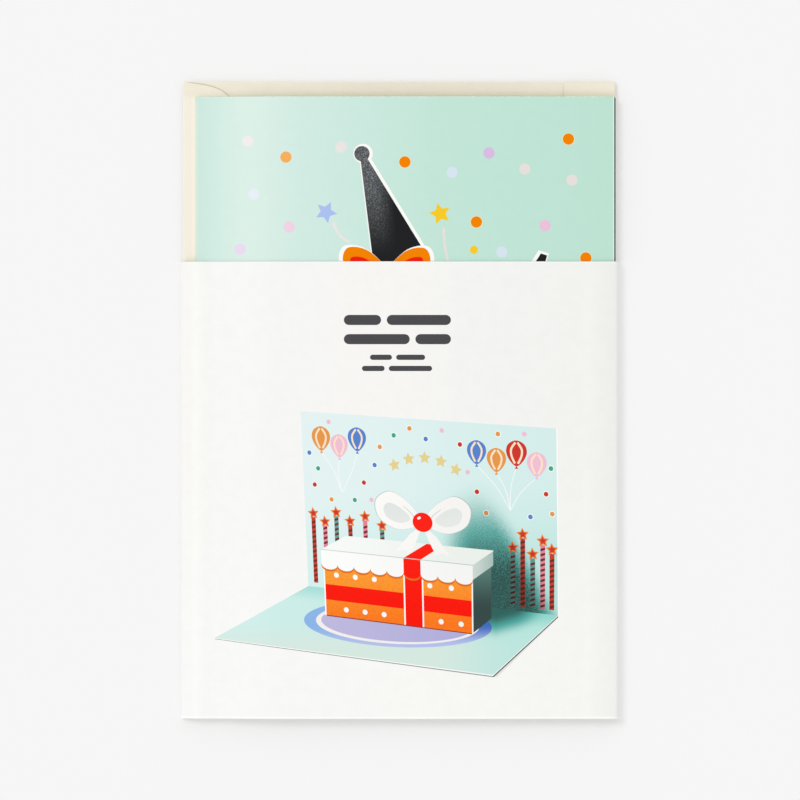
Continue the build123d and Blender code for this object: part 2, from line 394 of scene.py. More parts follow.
def envelope_paper():
    """Cream paper, lit beside the card's spine, shaded where the card and its own flap lie on it."""
    material, tree = new_material("envelope_paper", 0.82, BOARD_GLOSS)
    x = place(tree, "X")
    y = place(tree, "Y")
    upward = facing(tree, "Z")
    cream = mix(noise(tree, 0.9, 5.0), srgb(239, 231, 213), srgb(245, 238, 222))
    cream = tinted(cream, noise(tree, 5.0, 3.0), srgb(250, 249, 246), WHITE)
    middle = times(between(x, -30, -5), between(x, 55, 25))
    cream = tinted(cream, middle, WHITE, (0.962, 0.952, 0.947, 1))
    # Painted light on the strip left of the card, brightest beside its spine.
    below_top = between(y, CARD_TOP_Y + 1.2, CARD_TOP_Y - 1.2)
    left_light = times(between(x, -56, -60), below_top, 0.6)
    cream = mix(left_light, cream, srgb(247, 240, 226))
    spine_strip = times(between(x, -60, -59), between(x, -57, -58))
    cream = mix(times(spine_strip, below_top, 0.55), cream, srgb(255, 248, 234))
    # Painted shade: darker in creases and gaps, in a band above the card's top edge, along the card's top
    # where it touches, and along the flap's edge.
    beside = ramp(crease(tree, 1.8, False), 0.35, 1.0)
    cream = tinted(cream, beside, (0.95, 0.95, 0.92, 1), WHITE)
    above_card = between(y, CARD_TOP_Y - 1.5, CARD_TOP_Y - 1.4)
    near_card = between(y, CARD_TOP_Y + 2.6, CARD_TOP_Y - 0.2)
    near_card = times(near_card, between(x, -62, -28), above_card)
    cream = tinted(cream, near_card, WHITE, (0.88, 0.865, 0.79, 1))
    touching = between(y, CARD_TOP_Y + 0.4, CARD_TOP_Y + 0.1)
    touching = times(touching, above_card, between(x, -58.8, -58.2))
    touching = times(touching, ramp(upward, 0.2, 0.55))
    cream = tinted(cream, touching, WHITE, (0.86, 0.89, 0.88, 1))
    off_flap = ramp(crease(tree, 0.6, True), 0.55, 0.95)
    away = largest(between(x, -20, 0), between(y, 84, 80))
    off_flap = largest(off_flap, away, ramp(upward, 0.55, 0.2))
    cream = tinted(cream, off_flap, (0.55, 0.50, 0.42, 1), WHITE)
    paper = tree.nodes["Principled BSDF"].inputs
    feed(paper["Base Color"], cream)
    paper["Sheen Weight"].default_value = 0.15
    bump(noise(tree, 34.0, 1.0), 0.1)
    bump(noise(tree, 0.45, 4.0, (0.6, 1.0, 1.0)), 0.018)
    return material


def popup_board(name, tone, pale):
    """Pop-up board: inked outside, with the board's own white at its cut edges."""
    material, tree = new_material(name, 0.5, BOARD_GLOSS)
    printed = mix(noise(tree, 0.5, 3.0), srgb(*tone), srgb(*pale))
    edge = mix(noise(tree, 0.2, 2.0), srgb(240, 236, 228), srgb(250, 248, 244))
    return on_board(material, mix(cut_edge(tree), printed, edge), BOARD_RELIEF)


# Materials of the prints. Their makers take sRGB tones.

def ink(name, tone, shade=0.04, painted_sheen=False, gloss=INK_GLOSS):
    """Offset ink with a fine uneven lay. On the cover's inks that ask for it, a painted sheen pales them
    towards the spine, as on its mint.
    """
    material, tree = new_material(name, gloss=gloss)
    colour = srgb(*tone)
    specks = ramp(noise(tree, 0.28, 3.0), 0.35, 0.62)
    laid = mix(specks, darker(colour, 1 - shade), colour)
    if painted_sheen:
        shares = [(-58, 0.30), (-46, 0.40), (-32, 0.24), (-15, 0.15), (12, 0.0)]
        laid = mix(colour_stops(place(tree, "X"), shares, grey), laid, WHITE)
    return on_board(material, laid)


def slope_ink(name, axis, ends, start, end, grain=0.05, size=0.3, gloss=INK_GLOSS):
    """Ink that changes evenly from one colour to another between two places along an axis."""
    material, tree = new_material(f"picture_{name}", 0.44, gloss)
    along = between(place(tree, axis), *ends)
    colour = mix(along, srgb(*start), srgb(*end))
    specks = ramp(noise(tree, size, 4.0), 0.3, 0.65)
    return on_board(material, tinted(colour, specks, grey(1 - grain), WHITE))


def hat_ink():
    """Black ink with a pale dusting that thickens towards the hat's tip, along its left side."""
    material, tree = new_material("ink_black", 0.5)
    y = place(tree, "Y")
    from_left = math_node("ADD", place(tree, "X"), times(y, 0.1))
    streak = times(between(y, 40, 66), between(from_left, 4.5, -1.5))
    fine = ramp(noise(tree, 0.26, 2.0), 0.46, 0.70)
    dust = times(math_node("ADD", fine, 0.3), streak, 0.5)
    return on_board(material, mix(dust, srgb(22, 23, 26), srgb(170, 176, 178)))


def cast_shade(tree):
    """1 where the pictured box throws its shadow on the back panel, 0 clear of it."""
    x = place(tree, "X")
    y = place(tree, "Y")
    across = math_node("ADD", x, times(y, SHADE_LEAN))
    beside = between(across, SHADE_RIGHT, SHADE_FULL)
    below = between(y, SHADE_TOP_Y, SHADE_LOW_Y)
    clear = between(x, SHADE_LEFT, SHADE_LEFT + SHADE_FADE)
    grain = times(ramp(noise(tree, 0.3, 3.0), 0.34, 0.66), SHADE_GRAIN)
    grain = math_node("ADD", grain, 1 - SHADE_GRAIN * 0.7)
    return times(beside, below, clear, grain)


def below_hinge(tree):
    """How far a point of the pictured base lies below the hinge line."""
    slope = times(place(tree, "X"), HINGE_SLOPE)
    line = math_node("SUBTRACT", HINGE_MID_Y * MM, slope)
    return math_node("SUBTRACT", line, place(tree, "Y"))


def panel_ink():
    """Aqua of the pictured back panel, with the soft grainy shadow that its box throws."""
    material, tree = new_material("picture_panel_ink")
    rightward = between(place(tree, "X"), -28, 46)
    high = mix(rightward, srgb(226, 241, 240), srgb(211, 236, 233))
    low = mix(rightward, srgb(210, 238, 235), srgb(182, 225, 218))
    aqua = mix(between(place(tree, "Y"), -22, -58), high, low)
    colour = shaded(aqua, cast_shade(tree), srgb(92, 168, 160), srgb(42, 78, 73))
    return on_board(material, colour, PANEL_RELIEF)


def base_ink():
    """Aqua of the pictured base: palest at the front, shaded along the hinge and beside the box."""
    material, tree = new_material("picture_base_ink")
    x = place(tree, "X")
    down = below_hinge(tree)
    far = mix(between(x, -50, 40), srgb(206, 236, 232), srgb(178, 227, 218))
    close = mix(between(x, 8, 34), srgb(212, 231, 223), srgb(188, 228, 221))
    aqua = mix(between(place(tree, "Y"), -62, -72), far, close)
    aqua = tinted(aqua, between(down, 5, 0), WHITE, (0.66, 0.88, 0.86, 1))
    slant = times(math_node("SUBTRACT", x, 27.7 * MM), 0.4)
    near = between(math_node("ADD", down, largest(slant, 0.0)), 10.5, 1.0)
    amount = times(between(x, 46, 33), near, between(x, -2, 16))
    colour = shaded(aqua, amount, srgb(78, 166, 158), srgb(46, 96, 90))
    return on_board(material, colour, PANEL_RELIEF)


def mat_ink():
    """Blue border of the pictured mat: deepest at its right end, pale in front."""
    material, tree = new_material("picture_mat_border")
    rightward = between(place(tree, "X"), -20, 22)
    colour = mix(rightward, srgb(140, 182, 234), srgb(62, 106, 190))
    forward = between(place(tree, "Y"), -64.5, -70.5)
    colour = mix(forward, colour, srgb(182, 194, 236))
    colour = tinted(colour, noise(tree, 0.3, 3.0), grey(0.93), WHITE)
    return on_board(material, colour)


def sunk_ink(name, tone):
    """Ink on the pictured back panel, darker where the panel lies in shadow."""
    material, tree = new_material(name)
    colour = srgb(*tone)
    colour = mix(cast_shade(tree), colour, darker(colour, SUNK_SHARE))
    return on_board(material, colour)


# Outlines in plan

def turned(points, x, y, tilt):
    """Points drawn about the origin, turned and moved to their place."""
    cos = math.cos(tilt)
    sin = math.sin(tilt)
    return [(x + px * cos - py * sin, y + px * sin + py * cos) for px, py in points]


def ellipse(x, y, rx, ry, tilt=0.0, count=32):
    angles = [2 * math.pi * i / count for i in range(count)]
    return turned([(rx * math.cos(angle), ry * math.sin(angle)) for angle in angles], x, y, tilt)


def star(x, y, radius, tilt=0.0):
    points = []
    for i in range(10):
        reach = radius if i % 2 == 0 else radius * STAR_WAIST
        angle = math.pi / 2 + tilt + math.pi * i / 5
        points.append((x + reach * math.cos(angle), y + reach * math.sin(angle)))
    return points


def rectangle(a_from, a_to, b_from, b_to):
    return [(a_from, b_from), (a_to, b_from), (a_to, b_to), (a_from, b_to)]


def smooth(points, closed=True, steps=7):
    """Points of a smooth line through the given ones."""
    before, after = (points[-1:], points[:2]) if closed else (points[:1], points[-1:])
    knots = [np.array(point, float) for point in before + points + after]
    line = []
    for a, b, c, d in zip(knots, knots[1:], knots[2:], knots[3:]):
        for k in range(steps):
            t = k / steps
            way = 2 * b + (c - a) * t + (2 * a - 5 * b + 4 * c - d) * t ** 2
            way = way + (3 * b - a - 3 * c + d) * t ** 3
            line.append(tuple(way / 2))
    return line if closed else line + points[-1:]


def stroke(points, width, steps=6, taper=1.0):
    """Outline of a pen stroke along a smooth line."""
    line = [np.array(point) for point in smooth(points, closed=False, steps=steps)]
    left = []
    right = []
    last = len(line) - 1
    for i, point in enumerate(line):
        ahead = line[min(i + 1, last)] - line[max(i - 1, 0)]
        ahead = ahead / np.linalg.norm(ahead)
        side = np.array((-ahead[1], ahead[0])) * width / 2
        side = side * (1 + (taper - 1) * i / last)
        left.append(tuple(point + side))
        right.append(tuple(point - side))
    return left + right[::-1]


def ring(outer, inner):
    """Quads between two outlines with the same number of points."""
    count = len(outer)
    return [
        [outer[i], outer[(i + 1) % count], inner[(i + 1) % count], inner[i]]
        for i in range(count)
    ]


def bar(x_from, x_to, y, height):
    """Bar with round ends."""
    radius = height / 2
    points = []
    for x, start in ((x_to - radius, -math.pi / 2), (x_from + radius, math.pi / 2)):
        for i in range(9):
            angle = start + math.pi * i / 8
            points.append((x + radius * math.cos(angle), y + radius * math.sin(angle)))
    return points


# Laying ink on the CAD's own faces

Sheet = namedtuple("Sheet", "tree edges body slot")


def printed_side(node, above, body, slot):
    """The upper face of a CAD node: a tree to measure its height, and the edges of its facets in plan."""
    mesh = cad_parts[node].data
    facets = []
    edges = set()
    for polygon in mesh.polygons:
        if polygon.normal.z > 0.5 and polygon.center.z > above * MM:
            facets.append(list(polygon.vertices))
            for pair in polygon.edge_keys:
                ends = [mesh.vertices[index].co for index in pair]
                edges.add(tuple(sorted((round(end.x, 7), round(end.y, 7)) for end in ends)))
    tree = BVHTree.FromPolygons([vertex.co for vertex in mesh.vertices], facets)
    return Sheet(tree, sorted(edges), body, slot)


def crosses(edge, low, high):
    """Whether a facet's edge may pass through a plan rectangle."""
    for ends, start, end in zip(zip(*edge), low, high):
        if max(ends) <= start or min(ends) >= end:
            return False
    (x1, y1), (x2, y2) = edge
    sides = []
    for x in (low[0], high[0]):
        for y in (low[1], high[1]):
            sides.append((x2 - x1) * (y - y1) - (y2 - y1) * (x - x1))
    return min(sides) < 0 < max(sides)


def height_at(sheet, x, y):
    """Height of the sheet at a place in plan. Beside it, that of its nearest point."""
    hit = sheet.tree.ray_cast((x, y, 1), (0, 0, -1))[0]
    if hit is None:
        hit = sheet.tree.find_nearest((x, y, cad_high[2]))[0]
    return hit.z


def cut_plan(outline, sheet):
    """The outline as a flat mesh, cut where the sheet's facets meet."""
    plan = bmesh.new()
    corners = [plan.verts.new((x * MM, y * MM, 0)) for x, y in outline]
    face = plan.faces.new(corners)
    face.normal_update()
    if face.normal.z < 0:
        face.normal_flip()
    low = np.min(outline, axis=0) * MM
    high = np.max(outline, axis=0) * MM
    for edge in sheet.edges:
        if crosses(edge, low, high):
            (x1, y1), (x2, y2) = edge
            bmesh.ops.bisect_plane(
                plan,
                geom=plan.verts[:] + plan.edges[:] + plan.faces[:],
                dist=1e-7,
                plane_co=(x1, y1, 0),
                plane_no=(y2 - y1, x1 - x2, 0),
            )
    bmesh.ops.triangulate(plan, faces=plan.faces[:])
    plan.verts.index_update()
    return plan


def add_object(name, data):
    piece = bpy.data.objects.new(name, data)
    bpy.context.scene.collection.objects.link(piece)
    return piece


def lay(name, outlines, sheet, layer, material, lift=0.0):
    """A thin closed print that follows a sheet's facets. Each next outline is lift layers higher."""
    points = []
    faces = []
    for order, outline in enumerate(outlines):
        plan = cut_plan(outline, sheet)
        start = len(points)
        count = len(plan.verts)
        heights = [height_at(sheet, vertex.co.x, vertex.co.y) for vertex in plan.verts]
        rise = (layer + 1 + order * lift) * INK_STEP
        for above in (rise, -INK_ROOT):
            for vertex, height in zip(plan.verts, heights):
                points.append((vertex.co.x, vertex.co.y, height + above * MM))
        for face in plan.faces:
            loop = [start + vertex.index for vertex in face.verts]
            faces.append(loop)
            faces.append([index + count for index in reversed(loop)])
        for edge in plan.edges:
            if edge.is_boundary:
                first = start + edge.link_loops[0].vert.index
                second = start + edge.link_loops[0].link_loop_next.vert.index
                faces.append([second, first, first + count, second + count])
        plan.free()
    mesh = bpy.data.meshes.new(name)
    mesh.from_pydata(points, [], faces)
    mesh.polygons.foreach_set("use_smooth", [True] * len(mesh.polygons))
    mesh.set_sharp_from_angle(angle=math.radians(30))
    mesh.materials.append(material)
    piece = add_object(name, mesh)
    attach(piece, sheet.body)


# Boards and papers of the CAD

node_materials = {
    "sleeve": sleeve_board(),
    "card": cover_board(),
    "envelope": envelope_paper(),
    "gift_box": popup_board("gift_box_board", (244, 146, 48), (248, 163, 74)),
    "bow": popup_board("bow_board", (226, 44, 34), (236, 72, 58)),
    "bow_strut": popup_board("strut_board", (205, 232, 228), (214, 238, 234)),
}
for node, material in node_materials.items():
    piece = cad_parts[node]
    for material_slot in piece.material_slots:
        material_slot.material = material
    if not piece.material_slots:
        piece.data.materials.append(material)

cover = printed_side("card", FRONT_LEAF_ABOVE_Z, CARD_BODY, "cover_board")
front = printed_side("sleeve", SLEEVE_FRONT_ABOVE_Z, SLEEVE_BODY, "sleeve_board")


def on_cover(name, outlines, layer, material, lift=0.0):
    lay(f"cover_{name}", outlines, cover, layer, material, lift)


# Inks of the cover
orange = ink("ink_orange", (243, 132, 4), gloss=0.0)
peach = ink("ink_peach", (248, 174, 88))
blush = ink("ink_blush", (230, 223, 219), painted_sheen=True)
pink = ink("ink_pink", (235, 192, 219), painted_sheen=True)
lilac = ink("ink_lilac", (217, 186, 228), painted_sheen=True)
sky = ink("ink_sky", (214, 228, 240), painted_sheen=True)
yellow = ink("ink_yellow", (247, 202, 30))
blue = ink("ink_blue", (142, 173, 234), painted_sheen=True)
red = ink("ink_red", (242, 34, 14), gloss=0.0)
white = ink("ink_white", (250, 249, 246), 0.015)
pale_rim = ink("ink_pale_rim", (228, 232, 190))
black = hat_ink()

# Confetti and stars on the cover, the part that shows above the sleeve
DOT_R = 1.62
DOT_RIM_R = 1.8
SMALL_DOT_R = 1.15
STAR_R = 3.2
STAR_WAIST = 0.49
TRAIL_W = 0.85


def dots(places, radius=DOT_R):
    return [ellipse(x, y, radius, radius, count=26) for x, y in places]


orange_places = [(1.6, 68.2), (48.5, 74.8), (22.1, 51.0), (53.5, 40.7)]
blush_places = [(-43.4, 74.2), (-16.7, 72.5), (36.0, 66.2), (49.5, 63.0)]
on_cover("dots_blush", dots(blush_places), 0, blush)
on_cover("dot_rims", dots(orange_places, DOT_RIM_R), 0, pale_rim)
on_cover("dots_orange", dots(orange_places), 1, orange)
on_cover("dots_peach", dots([(-32.5, 69.6)]), 0, peach)
on_cover("dots_sky", dots([(-41.7, 59.0), (15.1, 65.2), (29.4, 42.4)]), 0, sky)
on_cover("dots_pink", dots([(-31.6, 49.6), (41.8, 50.0)]), 0, pink)
on_cover("dots_lilac", dots([(-45.7, 43.2), (25.7, 70.8)]), 0, lilac)
on_cover("dots_yellow", dots([(21.4, 43.0)], SMALL_DOT_R), 0, yellow)
on_cover("star_blue", [star(-21.0, 53.8, STAR_R, math.radians(-26))], 0, blue)
on_cover("star_yellow", [star(11.7, 53.4, STAR_R, math.radians(15))], 0, yellow)
trails = [
    stroke([(-18.9, 50.9), (-17.9, 48.4), (-16.2, 46.4), (-14.2, 45.2)], TRAIL_W, taper=0.7),
    stroke([(12.7, 49.4), (12.9, 45.8), (13.4, 42.0), (14.2, 39.0)], TRAIL_W, taper=0.8),
]
on_cover("trails", trails, 0, blush)

# Party hat, gift box and party horn on the cover. Only their tops show above the sleeve.
HAT_HALF_W = 8.6
HAT_TIP_HALF_W = 0.9
HAT_DIP = 1.3
HAT_FROM = 0.02
HALO_W = 0.62
HALO_SHIFT = (0.3, 0.05)
POMPOM_R = 2.2
POMPOM_HALO_R = 2.8
POMPOM_UP = 0.035
hat_tip = np.array((-10.3, 69.4))
hat_axis = np.array((1.4, 36.0)) - hat_tip
hat_down = hat_axis / np.linalg.norm(hat_axis)
hat_side = np.array((-hat_down[1], hat_down[0]))


def hat_point(down, across=0.0):
    """Point of the hat: down its axis from 0 at the tip to 1, and across it in millimetres."""
    return hat_tip + hat_axis * down + hat_side * across


def hat_band(top, low, grow=0.0):
    """A band of the hat between two shares of its height, its lower edge curved round."""
    rims = []
    for down in (top, low):
        half = HAT_HALF_W * down + HAT_TIP_HALF_W * (1 - down) + grow
        rim = []
        for i in range(11):
            t = -1 + 2 * i / 10
            fall = hat_down * HAT_DIP * down * (1 - t * t)
            rim.append(tuple(hat_point(down, half * t) + fall))
        rims.append(rim)
    return rims[0] + rims[1][::-1]


pompom_at = hat_point(-POMPOM_UP)
hat_halo = [hat_band(0.0, 1.0, HALO_W), ellipse(*pompom_at, POMPOM_HALO_R, POMPOM_HALO_R)]
on_cover("hat_halo", [turned(outline, *HALO_SHIFT, 0) for outline in hat_halo], 1, white, 0.5)
on_cover("hat", [hat_band(HAT_FROM, 1.0)], 3, black)
on_cover("hat_pompom", [ellipse(*pompom_at, POMPOM_R, POMPOM_R)], 4, black)

BOX_AT = (-3.0, 6.0)
BOX_TILT = math.radians(-5)
SEAM_W = 1.0
STRIPE_W = 0.7
STRIPE_X = 3.1
COVER_SPOT_R = 1.5


def on_box(outlines):
    """Outlines drawn about the middle of the cover's gift box, in their place."""
    return [turned(outline, *BOX_AT, BOX_TILT) for outline in outlines]


body = [(-24, -27), (24, -27), (25.5, 20), (-25.5, 20)]
lid = [(-28, 20), (28, 20), (28.6, 30), (-28.6, 30)]
seam = stroke([(-28, 19.6), (0, 19.3), (28, 19.6)], SEAM_W)
ribbon = rectangle(-4.4, 4.4, -27, 30.2)
on_cover("box", on_box([body]), 0, orange)
on_cover("lid", on_box([lid]), 1, peach)
on_cover("lid_shade", on_box([seam]), 2, red)
on_cover("ribbon", on_box([ribbon]), 3, red)
stripes = [stroke([(x, -27), (x, 0), (x, 30)], STRIPE_W) for x in (-STRIPE_X, STRIPE_X)]
on_cover("ribbon_edges", on_box(stripes), 4, white)
spots = [(x, y) for x in (-19, -11, 11, 19) for y in (-20, -8, 4)]
spots += [(x, y) for x in (-15, 15) for y in (-14, -2, 10)]
spots = [ellipse(x, y, COVER_SPOT_R, COVER_SPOT_R) for x, y in spots]
on_cover("box_spots", on_box(spots), 1, white)

BOW_AT = (-3.4, 37.2)
BOW_HALO_GROW = 1.09
loops = [
    smooth([(0, 0), (-5.6, 5.6), (-11.4, 6.4), (-12.6, 2.2), (-8.0, -1.6), (-3.0, -1.8)]),
    smooth([(0, 0), (3.0, -1.8), (8.0, -1.4), (12.2, 2.0), (10.8, 6.2), (5.2, 5.4)]),
]
hollows = [
    smooth([(-3.4, 1.2), (-7.0, 3.6), (-10.4, 3.6), (-10.2, 1.2), (-6.8, -0.2)]),
    smooth([(3.4, 1.2), (6.8, -0.2), (10.0, 1.2), (9.8, 3.6), (6.6, 3.4)]),
]


def bow_shapes(outlines, grow=1.0):
    return [
        [(BOW_AT[0] + x * grow, BOW_AT[1] + y * grow) for x, y in outline]
        for outline in outlines
    ]


on_cover("bow_halo", bow_shapes(loops, BOW_HALO_GROW), 5, white, 0.5)
on_cover("bow", bow_shapes(loops), 7, orange, 0.5)
on_cover("bow_hollow", bow_shapes(hollows), 8.5, red)
on_cover("knot", bow_shapes([ellipse(0, 0.2, 2.6, 2.3)]), 9, red)

horn = [(40.6, 42.0), (42.4, 41.4), (33.0, 10.5), (22.6, 14.0)]
horn_halo = [(39.9, 42.9), (42.9, 42.0), (33.6, 10.1), (21.9, 14.0)]
horn_bands = [
    [(38.0, 34.2), (40.3, 33.4), (39.5, 30.8), (36.7, 31.8)],
    [(33.4, 25.6), (37.6, 24.2), (36.5, 20.6), (31.5, 22.3)],
]
on_cover("horn_halo", [horn_halo], 0.5, white)
on_cover("horn", [horn], 1.5, black)
on_cover("horn_bands", horn_bands, 2.5, orange)
on_cover("horn_mouth", [ellipse(27.8, 12.2, 5.9, 1.9, -0.34)], 2.5, red)

# Confetti and stars on the part of the cover that the sleeve hides at rest
hidden_dots = [
    ("orange", orange, [(-45.5, 30.0), (47.8, 19.0), (-38.4, -52.0), (30.6, -44.8), (3.0, -64.0)]),
    ("pink", pink, [(-40.3, 12.0), (44.6, -20.4), (-14.0, -44.8), (49.0, -66.0)]),
    ("sky", sky, [(-34.5, 33.0), (51.0, 2.0), (-48.2, -22.0), (12.0, -48.5), (-24.0, -71.0)]),
    ("lilac", lilac, [(51.5, 33.0), (-46.0, -4.0), (41.0, -38.5), (-30.5, -38.0), (22.0, -77.0)]),
]
hidden_stars = [(-41.5, -34.0, STAR_R, 0.2), (43.0, -55.0, STAR_R, -0.2), (-8.5, -57.0, STAR_R)]
for name, material, places in hidden_dots:
    on_cover(f"more_{name}", dots(places), 0, material)
on_cover("more_stars", [star(*values) for values in hidden_stars], 0, yellow)

# Sleeve: bars where the words were, each given by its two ends and its middle height
BOLD_H = 2.9
THIN_H = 1.5
bold_words = [(-15.9, -5.2, 22.9), (-3.6, 14.8, 22.9), (-15.9, 3.0, 17.4), (4.6, 14.8, 17.4)]
thin_words = [(-8.4, -2.1, 12.2), (-0.9, 7.4, 12.2), (-10.7, -4.2, 9.0), (-3.0, 9.4, 9.0)]
bars = [bar(*word, BOLD_H) for word in bold_words] + [bar(*word, THIN_H) for word in thin_words]
lay("sleeve_bars", bars, front, 0, ink("ink_grey", (74, 74, 76), 0.1))

# Sleeve: picture of the card standing open, drawn in perspective from these lengths
PICTURE_YAW = math.radians(-25.8)
PICTURE_PITCH = math.radians(15.9)
PICTURE_ROLL = math.radians(1.5)
PICTURE_FAR = 850.0
PICTURE_SCALE = 0.473
PICTURE_X = -0.8
PICTURE_Y = -45.4
PIVOT_UP = 40
PIVOT_OUT = 45
HINGE = 175.0
PANEL_H = 116.5
NEAR_LEFT = (-1.3, 113.8)
NEAR_RIGHT = (175.9, 110.4)
TOP_IN = 1.8
TOP_RISE = 1.3
EDGE_W = 0.9
GIFT_FROM = 41.0
GIFT_TO = 139.0
GIFT_H = 43.0
GIFT_NEAR = 51.0
GIFT_FAR = 20.0
LID_OVER = 1.4
LID_LOW = 34.0
SCALLOPS = 9
SCALLOP_DEEP = 3.4
RIBBON_SCALLOP = 3
RIBBON_AT = 101.2
RIBBON_HALF = 5.6
BAND_LOW = 10.5
BAND_TOP = 20.5
BOW_OUT = 36.0
BOW_MID_UP = GIFT_H + 18


def picture(along, up, out):
    """Where a point of the pictured card lies on the sleeve: along the hinge, up the back, out in front."""
    [(x, z)] = turned([(along - HINGE / 2, out - PIVOT_OUT)], 0, 0, -PICTURE_YAW)
    [(y, nearer)] = turned([(up - PIVOT_UP, z)], 0, 0, PICTURE_PITCH)
    [(x, y)] = turned([(x, y)], 0, 0, PICTURE_ROLL)
    grow = PICTURE_SCALE * PICTURE_FAR / (PICTURE_FAR - nearer)
    return (PICTURE_X + x * grow, PICTURE_Y + y * grow)


def upright(points, out=0.0):
    """Points given along and up, on a sheet that stands this far out."""
    return [picture(along, up, out) for along, up in points]


def level(points, up=0.0):
    """Points given along and out, on a sheet that lies this high."""
    return [picture(along, up, out) for along, out in points]


def endwise(points, along):
    """Points given out and up, on a sheet across the hinge."""
    return [picture(along, up, out) for out, up in points]


def disc(along, up, radius, out=0.0):
    return upright(ellipse(along, up, radius, radius, count=18), out)


def draw(name, outlines, layer, material, lift=0.0):
    lay(f"picture_{name}", outlines, front, layer, material, lift)


across_picture = (-28, 26)
across_bow = (-14, 22)
mat_lilac = slope_ink("mat_lilac", "X", across_picture, (190, 185, 222), (176, 174, 219))
lid_white = slope_ink("lid_ink", "X", across_picture, (247, 250, 247), (235, 239, 234), 0.02)
rim_white = slope_ink("rim_ink", "X", across_picture, (252, 252, 250), (243, 244, 241), 0.02)
ring_cream = slope_ink("ring_ink", "X", across_picture, (243, 238, 233), (238, 236, 238), 0.02)
lid_side = slope_ink("lid_side", "X", (20, 28), (206, 218, 212), (168, 190, 184), 0.04)
end_dark = slope_ink("end_ink", "Y", (-44, -60), (92, 134, 124), (52, 72, 70), 0.1)
bow_white = slope_ink("bow_ink", "X", across_bow, (252, 250, 246), (244, 243, 239), 0.02)
bow_shade = slope_ink("bow_shade", "Y", (-22, -38), (216, 226, 224), (231, 233, 230), 0.03)
bow_line = slope_ink("bow_line", "X", across_bow, (198, 210, 207), (180, 196, 192), 0.03)
front_orange = slope_ink("front_ink", "Y", (-47, -66), (254, 158, 54), (253, 121, 34), 0.1, 0.7, 0.0)
ribbon_red = slope_ink("ribbon_ink", "Y", (-30, -66), (254, 38, 26), (251, 28, 16), 0.06, 0.7, 0.0)
soft_grey = ink("picture_grey", (142, 152, 149))
line_grey = ink("picture_line_grey", (88, 100, 98))
faint_grey = ink("picture_faint_grey", (229, 230, 228))
foot_brown = ink("picture_foot_brown", (140, 46, 30))
under_lid = ink("picture_under_lid", (222, 108, 30))
sunk_tones = {
    "gold": (228, 208, 142),
    "paper_white": (244, 248, 246),
    "dot_red": (204, 52, 40),
    "dot_orange": (230, 150, 72),
    "dot_blue": (86, 130, 204),
    "dot_green": (64, 166, 132),
    "dot_pink": (240, 190, 212),
    "star_orange": (236, 128, 54),
    "pale_stripe": (250, 226, 196),
    "rod_red": (196, 62, 44),
    "rod_teal": (96, 158, 150),
    "rod_pink": (228, 128, 150),
    "rod_stripe": (108, 44, 40),
}
sunk = {name: sunk_ink(f"picture_{name}", tone) for name, tone in sunk_tones.items()}

# Panels of the pictured card, with the thickness and the shade under their edges
side_top = HINGE - TOP_IN
back_panel = upright([(0, 0), (HINGE, 0), (side_top, PANEL_H), (0, PANEL_H + TOP_RISE)])
panel_side = upright([(HINGE, 0), (HINGE + EDGE_W, 0), (side_top + EDGE_W, PANEL_H), (side_top, PANEL_H)])
base_panel = level([(0, 0), (HINGE, 0), NEAR_RIGHT, NEAR_LEFT])
far_right, near_right, near_left = (np.array(corner) for corner in base_panel[1:])
edge_drop = np.array((0.05, -0.36))
shade_drop = np.array((0.1, -0.68))
soft_drop = np.array((1.1, -0.75))


def under_edge(start, end, start_drop, end_drop):
    """A band under an edge, which drops this far at its two ends."""
    return [start, end, end + end_drop, start + start_drop]


rim = under_edge(near_left, near_right, edge_drop * 0.6, edge_drop)
side_rim = under_edge(near_right, far_right, edge_drop * 0.8, edge_drop * 0.5)
rim_shade = under_edge(near_left, near_right, shade_drop * 0.55, shade_drop)
side_shade = under_edge(near_right, far_right, shade_drop * 1.1, shade_drop * 0.8)
side_soft = under_edge(near_right, far_right, soft_drop, shade_drop)
draw("side_soft", [side_soft], 0, faint_grey)
draw("edge_shade", [rim_shade], 0.5, soft_grey)
draw("side_shade", [side_shade], 1, line_grey)
draw("edge", [rim, side_rim, panel_side], 1.5, white)
draw("back", [back_panel], 2, panel_ink())
draw("base", [base_panel], 2, base_ink())

MAT_AT = (87.9, 48.0)
MAT_RADII = [(60.2, 42.9), (52.3, 37.6), (49.2, 33.6)]
mat_wide, mat_inside, ring_inside = (level(ellipse(*MAT_AT, *radii, count=56)) for radii in MAT_RADII)
draw("mat_border", ring(mat_wide, mat_inside), 3, mat_ink())
draw("mat_ring", ring(mat_inside, ring_inside), 3, ring_cream)
draw("mat", [ring_inside], 3, mat_lilac)

# Confetti and gold stars on the pictured back panel. The pink dots have no rim.
PAPER_DOT_R = 1.5
PAPER_RIM_R = 2.05
PAPER_STAR_R = 4.3
GOLD_MID = 87
GOLD_FAN = 0.012
paper_dots = {
    "red": [(8, 70), (44, 74), (111, 103), (167, 76), (122, 74)],
    "orange": [(20, 61), (56, 98), (77, 111), (171, 64), (136, 111), (128, 61)],
    "blue": [(52, 86), (88, 105), (5, 91), (157, 61)],
    "green": [(11, 81), (66, 106), (37, 62), (170, 92)],
    "pink": [(20, 112), (49, 63), (99, 111), (116, 86), (153, 112)],
}
rims = []
for colour, places in paper_dots.items():
    discs = [disc(a, u, PAPER_DOT_R) for a, u in places]
    draw(f"dots_{colour}", discs, 4, sunk[f"dot_{colour}"])
    if colour != "pink":
        rims += [disc(a, u, PAPER_RIM_R) for a, u in places]
draw("dot_rims", rims, 3, sunk["paper_white"])
gold_places = [(66, 87), (76, 91.5), (87, 93), (98, 91.5), (108, 87)]
gold_stars = [upright(star(a, u, PAPER_STAR_R, (GOLD_MID - a) * GOLD_FAN)) for a, u in gold_places]
draw("gold_stars", gold_stars, 3, sunk["gold"])

